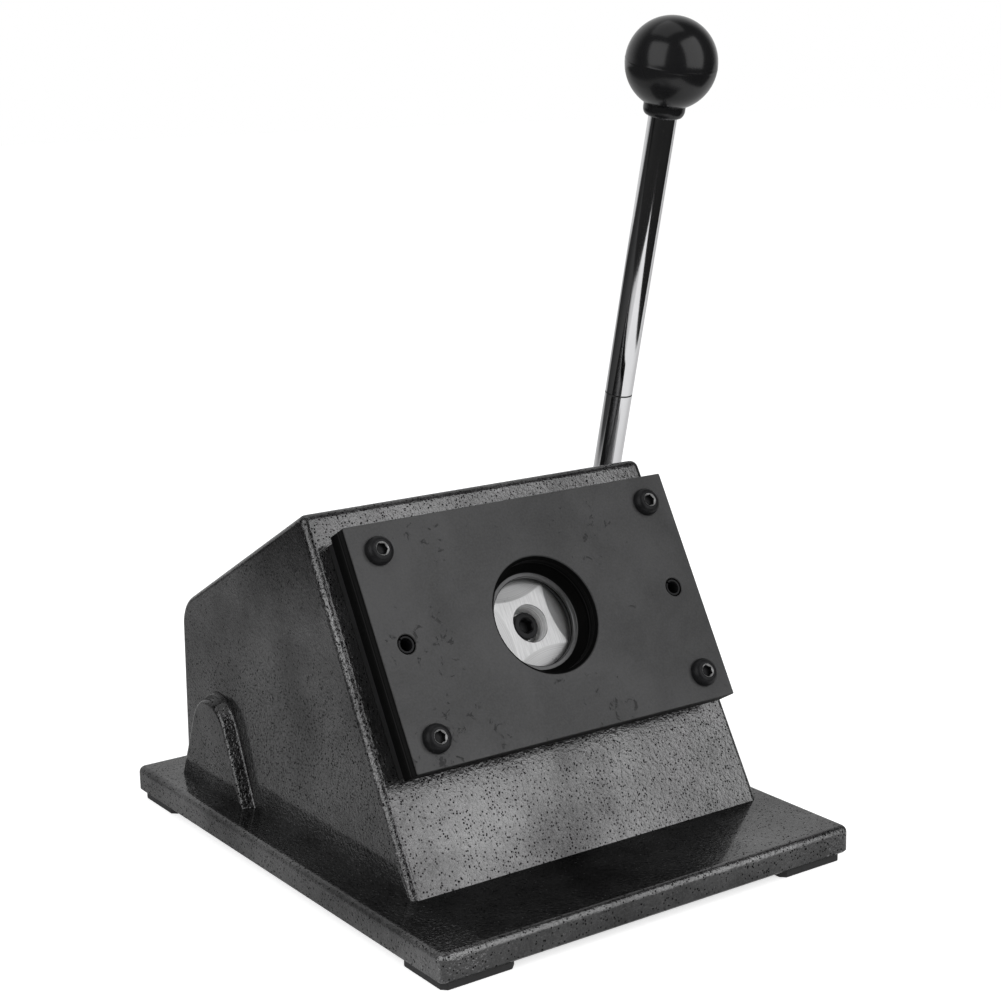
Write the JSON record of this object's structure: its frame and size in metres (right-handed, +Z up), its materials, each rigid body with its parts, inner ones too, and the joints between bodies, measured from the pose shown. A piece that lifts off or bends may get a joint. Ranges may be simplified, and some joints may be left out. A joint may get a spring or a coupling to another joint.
{
  "type": "button badge paper punch",
  "caption": "Bench punch for button badge paper: cast housing with a slanted die face on a flat base, round punch and window, cam driven by a ball-ended hand lever.",
  "frame": {"origin": "middle of the whole footprint, lever hub included, on the surface that the rubber feet stand on", "axes": "+X to the machine's right, where the lever is, +Y to the back, +Z up; the die face looks to the front and up"},
  "size_m": [0.2052, 0.22, 0.3016],
  "materials": {
    "hammertone": "gloss black hammertone enamel on a rough casting",
    "foot_rubber": "matte moulded rubber",
    "black_screws": "black oxide",
    "bronze": "turned, oiled",
    "dark_plate": "ground and blackened, satin",
    "strip_steel": "rolled strip, satin",
    "hard_steel": "ground",
    "bright_punch": "finely ground, bright",
    "spring_steel": "oil blackened",
    "chrome": "polished chrome plate",
    "knob_plastic": "polished black phenolic"
  },
  "bodies": {
    "frame": {"base_plate": "hammertone", "front_left_foot": "foot_rubber", "front_right_foot": "foot_rubber", "rear_left_foot": "foot_rubber", "rear_right_foot": "foot_rubber", "foot_screws": "black_screws", "housing": "hammertone", "housing_screws": "black_screws", "ram_guide_bush": "bronze", "guide_bush_screws": "black_screws", "guide_plate": "dark_plate", "left_slot_spacer": "strip_steel", "right_slot_spacer": "strip_steel", "die_ring": "hard_steel", "die_plate": "dark_plate", "plate_screws": "black_screws", "spring_pins": "spring_steel", "left_shaft_bush": "bronze", "right_shaft_bush": "bronze", "thrust_washer": "bronze", "upper_stop_pin": "chrome", "lower_stop_pin": "chrome"},
    "lever": {"cross_shaft": "hard_steel", "shaft_collar": "hard_steel", "collar_screw": "black_screws", "cam": "hard_steel", "cam_key": "hard_steel", "lever_hub": "chrome", "hub_key": "hard_steel", "hub_end_washer": "chrome", "hub_end_screw": "black_screws", "lower_lever_rod": "chrome", "upper_lever_rod": "chrome", "knob_insert": "bronze", "ball_knob": "knob_plastic"},
    "ram": {"ram": "hard_steel", "punch": "bright_punch", "punch_screw": "black_screws"}
  },
  "joints": [
    {"name": "lever_swing", "type": "hinge", "parent": "frame", "child": "lever", "pos_m": [-0.0101, 0.06574, 0.0319], "axis": [1, 0, 0], "range_deg": [0, 66]},
    {"name": "ram_slide", "type": "slide", "parent": "frame", "child": "ram", "axis": [0, -0.8698, 0.4933], "range_m": [0, 0.00436]}
  ],
  "couplings": [
    {"joint": "ram_slide", "follows": "lever_swing", "m_per_rad": 0.0037824}
  ]
}
